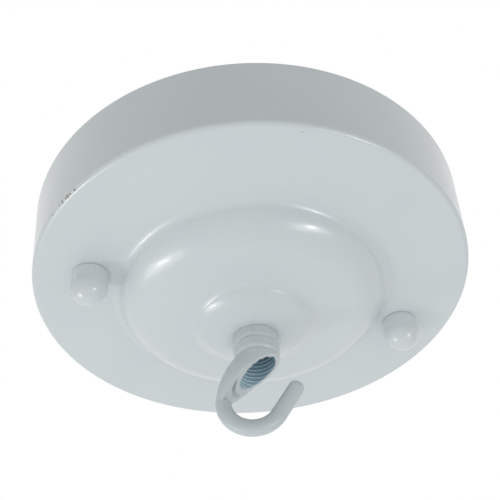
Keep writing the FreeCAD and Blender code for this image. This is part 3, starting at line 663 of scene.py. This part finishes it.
# %% [markdown]
# ## Steel and enamel in one piece
# A plug keeps the enamel out of the stem, so the bore's wall between the ridges is bare steel
# like the thread, while the rest of the casting is white. Two pieces would show a seam, so each
# mesh takes a second material instead, and the place of a face says which of the two it wears.

# %% Second materials of ridge and hook
WALL_MARGIN = 0.08
ridge.data.materials.append(hook_enamel)
for polygon, cut in zip(ridge.data.polygons, on_cut):
    polygon.material_index = int(cut)
# So the bore's wall also wears the thread's blue, which is painted shade.
hook.data.materials.append(thread_steel)
bare = 0
for polygon in hook.data.polygons:
    away = math.hypot(polygon.center.x, polygon.center.y)
    if away < (BORE_RADIUS + WALL_MARGIN) * MM and polygon.center.z > -THREAD_END * MM:
        polygon.material_index = 1
        bare += 1
print("enamelled faces on the cut:", sum(on_cut), "bare faces in the bore:", bare)

# %% [markdown]
# ## Slotted screws with real threads
# The cup hangs on two M4 screws whose heads lie behind the strap, and a brass one clamps the
# earth wire. A cheese head screw is turned, slotted with a saw and rolled with a thread. So the
# blank is a turned line, a box cuts the slot, and the thread helper winds the ridge on its core.
# Where the screw stands and how long it is comes from the measured one's box.

# %% Screws
M4_CORE = 1.68
M4_CREST = 1.99
SLOT = 1.0
SAW_SPARE = 0.2
SAW_REACH = 1.2
RUN_OUT = 0.3
STUD_HEAD = 2.6
EARTH_HEAD = 2.4
ALONG_Y = 1
ALONG_Z = 2


def wind_thread(piece, core, crest, pitch, top, bottom, steps):
    """Adds a thread to a finished piece."""
    bm = bmesh.new()
    bm.from_mesh(piece.data)
    add_thread(bm, core, crest, pitch, top, bottom, steps)
    bm.to_mesh(piece.data)
    bm.free()


def slotted_screw(name, replaced, head_height, along):
    """A screw in the place of a measured one, with its head up, or out along Y."""
    low, high = measured_box(replaced)
    head_radius = (high[0] - low[0]) / 2
    length = high[along] - low[along] - head_height
    blank = ((0.0, -head_height, 0), (head_radius, -head_height, 0.5), (head_radius, 0.0, 0),
             (M4_CORE, 0.0, 0), (M4_CORE, length, 0.3), (0.0, length, 0))
    screw = new_object(name, turned(blank, steps=64, segments=4))
    saw = bmesh.new()
    bmesh.ops.create_cube(saw, size=1.0, matrix=Matrix.LocRotScale(
        Vector((0, 0, head_height - (SLOT - SAW_SPARE) / 2)) * MM, None,
        Vector((2 * SAW_REACH * head_radius, SLOT, SLOT + SAW_SPARE)) * MM))
    cut_away(screw, saw)
    soften(screw, 0.05)
    wind_thread(screw, M4_CORE, M4_CREST, M4_PITCH, RUN_OUT, length - END_GAP, steps=32)
    under_head = [(a + b) / 2 for a, b in zip(low, high)]
    under_head[along] = high[along] - head_height
    if along == ALONG_Y:
        screw.data.transform(Matrix.Rotation(-math.pi / 2, 4, "X"))
    screw.data.transform(Matrix.Translation(Vector(under_head) * MM))
    return screw


for side in ("left", "right"):
    stud = slotted_screw(side + "_threaded_stud", side + "_stud_screw", STUD_HEAD, ALONG_Z)
    hand_over(stud, bolt_zinc, "root", side + "_stud_screw")
earth = slotted_screw("earth_clamp_screw", "earth_screw", EARTH_HEAD, ALONG_Y)
hand_over(earth, brass, "root", "earth_screw")

# %% [markdown]
# ## The threaded tube
# A short hollow M8 x 1 tube joins the cup and the hook, and the cord runs through it. Its
# outline closes on itself, because the tube has a bore, and the spin turns it into a ring.

# %% Threaded tube
TUBE_BORE = 3.1
TUBE_CORE = 3.55
TUBE_CREST = 3.98
TUBE_LINE = (
    (TUBE_BORE, TUBE_TOP, 0),
    (TUBE_CORE, TUBE_TOP, 0),
    (TUBE_CORE, TUBE_END, 0),
    (TUBE_BORE, TUBE_END, 0),
    (TUBE_BORE, TUBE_TOP, 0),
)
tube = new_object("threaded_tube", turned(TUBE_LINE, steps=96, segments=1))
soften(tube, 0.08)
wind_thread(tube, TUBE_CORE, TUBE_CREST, M8_PITCH, TUBE_TOP + END_GAP, TUBE_END - END_GAP, steps=48)
hand_over(tube, bolt_zinc, "root", "cord_nipple")

# %% [markdown]
# ## Shakeproof washers
# A shakeproof washer bites with slanting teeth, so that a nut doesn't work loose. It is a flat
# ring, and a row of tilted boxes, all cut at once, leaves the teeth standing. The measured
# washers are plain rings, whose boxes give the outer radius, the thickness and the place.

# %% Shakeproof washers
TOOTH_SLANT = math.radians(25)
TOOTH_DEPTH_SHARE = 0.45
GAP_SHARE = 0.4


def toothed_washer(name, replaced, inner, teeth):
    low, high = measured_box(replaced)
    outer = (high[1] - low[1]) / 2
    height = high[2] - low[2]
    ring = ((inner, 0.0, 0), (outer, 0.0, 0), (outer, height, 0), (inner, height, 0), (inner, 0.0, 0))
    washer = new_object(name, turned(ring, steps=120, segments=1))
    gaps = bmesh.new()
    depth = TOOTH_DEPTH_SHARE * (outer - inner)
    wide = GAP_SHARE * math.tau * outer / teeth
    slant = Matrix.Rotation(TOOTH_SLANT, 4, "X")
    box = Matrix.LocRotScale(Vector((outer, 0, -height / 2)) * MM, slant.to_3x3(),
                             Vector((2 * depth, wide, 4 * height)) * MM)
    for i in range(teeth):
        bmesh.ops.create_cube(gaps, size=1.0, matrix=Matrix.Rotation(math.tau * i / teeth, 4, "Z") @ box)
    cut_away(washer, gaps)
    washer.data.transform(Matrix.Translation(Vector(((low[0] + high[0]) / 2, 0, high[2])) * MM))
    return washer


WASHERS = (
    ("toothed_washer", "nipple_star_washer", 4.2, 16),
    ("left_toothed_washer", "left_stud_washer", 2.2, 12),
    ("right_toothed_washer", "right_stud_washer", 2.2, 12),
)
for name, replaced, inner, teeth in WASHERS:
    star = toothed_washer(name, replaced, inner, teeth)
    hand_over(star, bolt_zinc, "root", replaced)

# %% [markdown]
# ## Pieces that keep their measured mesh
# The strap, the hexagon nuts, the plain and cup washers and the bush already have the right
# shape. They only need their finish, which goes into the material slots of their objects.

# %% Finishes for the measured pieces
KEPT = {
    "ceiling_strap": zinc,
    "left_stud_nut": bolt_zinc,
    "right_stud_nut": bolt_zinc,
    "earth_cup_washer": brass,
    "nipple_washer": bolt_zinc,
    "nipple_nut": bolt_zinc,
    "cord_bush": nylon,
}
for name, material in KEPT.items():
    for place in nodes[name].material_slots:
        place.material = material
print("measured pieces with a finish:", len(KEPT))

# %% [markdown]
# ## Camera
# The photo looks up at the plate from close by, a little from the left, so its perspective is
# strong. The camera looks back along one direction, given by azimuth and elevation, and is
# turned a little about its own axis. Two small offsets put the plate where the photo has it.

# %% Camera
AZIMUTH = math.radians(-19.45)
ELEVATION = math.radians(-44.11)
ROLL = math.radians(-4.25)
DISTANCE = 185.4
OFFSET = (0.32, -1.48)
FOCAL_PIXELS = 726.2
IMAGE_PIXELS = 500
SENSOR = 36.0

back = Vector((math.sin(AZIMUTH) * math.cos(ELEVATION), -math.cos(AZIMUTH) * math.cos(ELEVATION),
               math.sin(ELEVATION)))
right = Vector((0, 0, 1)).cross(back).normalized()
above = back.cross(right)
rolled_right = math.cos(ROLL) * right + math.sin(ROLL) * above
rolled_above = math.cos(ROLL) * above - math.sin(ROLL) * right
camera_data = bpy.data.cameras.new("camera")
camera_data.sensor_width = SENSOR
camera_data.lens = FOCAL_PIXELS / IMAGE_PIXELS * SENSOR
camera_data.clip_start = 0.005
camera = bpy.data.objects.new("camera", camera_data)
bpy.context.scene.collection.objects.link(camera)
camera.location = (OFFSET[0] * rolled_right + OFFSET[1] * rolled_above + DISTANCE * back) * MM
camera.rotation_euler = Matrix((rolled_right, rolled_above, back)).transposed().to_euler()
bpy.context.scene.camera = camera
print("camera at", [round(c, 4) for c in camera.location], "lens", round(camera_data.lens, 2))

# %% [markdown]
# ## Lamps
# The plate was photographed on white with soft light from several sides. Wide fill lamps shape
# the body, and one above it lights the open back for other views. They are hidden from
# reflections, because gloss would show them as hard squares. Two long lamps, each with a bright
# core, are seen in reflections and draw the glints, and the left core is also the one small
# light that casts the nuts' soft shadows. Their directions are where the photo's glints on the
# dome and on the ball-shaped nuts point.

# %% Lamps
PLATE_MIDDLE = Vector((0, 0, -0.02))
LEFT_GLINT_WAY = (0.4, -0.55, -0.66)
RIGHT_GLINT_WAY = (0.52, -0.03, 0.34)


def area_lamp(name, direction, distance, width, height, power, seen=("diffuse",), along=(0, 0, 1)):
    """A lamp that faces the plate. Its width lies as nearly along the given way as it can."""
    lamp = bpy.data.lights.new(name, "AREA")
    lamp.shape = "RECTANGLE"
    lamp.size = width
    lamp.size_y = height
    lamp.energy = power
    stand = bpy.data.objects.new(name, lamp)
    bpy.context.scene.collection.objects.link(stand)
    way = Vector(direction).normalized()
    stand.location = PLATE_MIDDLE + way * distance
    across = Vector(along) - way * way.dot(Vector(along))
    across.normalize()
    stand.rotation_euler = Matrix((across, way.cross(across), way)).transposed().to_euler()
    stand.visible_camera = False
    stand.visible_glossy = "glossy" in seen
    stand.visible_diffuse = "diffuse" in seen
    print(name, "at", [round(c, 3) for c in stand.location])


area_lamp("front_fill", (-0.1, -0.8, -0.55), 0.8, 0.6, 0.6, 0.30)
area_lamp("back_fill", (-0.3, 0.9, -0.4), 0.8, 0.6, 0.6, 0.40)
area_lamp("side_fill", (0.7, -0.7, 0.0), 0.8, 0.6, 0.6, 0.12)
area_lamp("top_fill", (0.3, 0.25, 0.9), 0.8, 0.6, 0.6, 1.60)
area_lamp("left_glint", (-0.67, 0.29, -0.68), 0.55, 0.30, 0.15, 0.50, ("glossy",), LEFT_GLINT_WAY)
area_lamp("left_core", (-0.69, 0.26, -0.67), 0.54, 0.10, 0.06, 0.26, ("glossy", "diffuse"), LEFT_GLINT_WAY)
area_lamp("right_glint", (0.47, -0.65, -0.60), 0.55, 0.24, 0.11, 0.36, ("glossy",), RIGHT_GLINT_WAY)
area_lamp("right_core", (0.47, -0.67, -0.56), 0.54, 0.07, 0.05, 0.24, ("glossy",), RIGHT_GLINT_WAY)

# %% [markdown]
# ## World
# The world is plain white to the camera, in reflections and through glass, and a dim grey as
# light. A white world that also lit the plate would wash out its shape, so the Light Path node
# tells the kinds of rays apart, and Map Range turns that answer into a strength.

# %% World
WORLD_LIGHT = 0.24
world = bpy.data.worlds.new("world")
bpy.context.scene.world = world
world.use_nodes = True
tree = world.node_tree
rays = add(tree, "ShaderNodeLightPath")
seen = add(tree, "ShaderNodeMath", operation="MAXIMUM")
seen_all = add(tree, "ShaderNodeMath", operation="MAXIMUM")
level = add(tree, "ShaderNodeMapRange", (("To Min", WORLD_LIGHT), ("To Max", 1.0)))
background = tree.nodes["Background"]
background.inputs["Color"].default_value = (1, 1, 1, 1)
tree.links.new(rays.outputs["Is Camera Ray"], seen.inputs[0])
tree.links.new(rays.outputs["Is Glossy Ray"], seen.inputs[1])
tree.links.new(seen.outputs["Value"], seen_all.inputs[0])
tree.links.new(rays.outputs["Is Transmission Ray"], seen_all.inputs[1])
tree.links.new(seen_all.outputs["Value"], level.inputs["Value"])
tree.links.new(level.outputs["Result"], background.inputs["Strength"])
print("world:", world.name, "lights with", WORLD_LIGHT)

# %% [markdown]
# ## Floor
# The plate hangs, so the floor lies far below it. It is a pale sheet that glows a little, like
# a white table under studio lamps, and so it lights the plate from below. Stage pieces such as
# this one belong to the picture and not to the object.

# %% Floor
FLOOR_HEIGHT = -1.2
FLOOR_GLOW = 0.55
floor_bm = bmesh.new()
bmesh.ops.create_grid(floor_bm, x_segments=8, y_segments=8, size=30.0,
                      matrix=Matrix.Translation((0, 0, FLOOR_HEIGHT)))
floor = new_object("floor", floor_bm)
floor_paint, tree, shader = principled("floor_paint", 0.8)
tint = use_group(tree, drift, First=(0.93, 0.93, 0.93, 1), Second=(0.91, 0.91, 0.91, 1), Scale=2.0)
tree.links.new(tint.outputs["Color"], shader.inputs["Base Color"])
tree.links.new(tint.outputs["Color"], shader.inputs["Emission Color"])
shader.inputs["Emission Strength"].default_value = FLOOR_GLOW
floor.data.materials.append(floor_paint)
bpy.context.scene.view_settings.view_transform = "Standard"
print("floor at", FLOOR_HEIGHT, "view transform", bpy.context.scene.view_settings.view_transform)
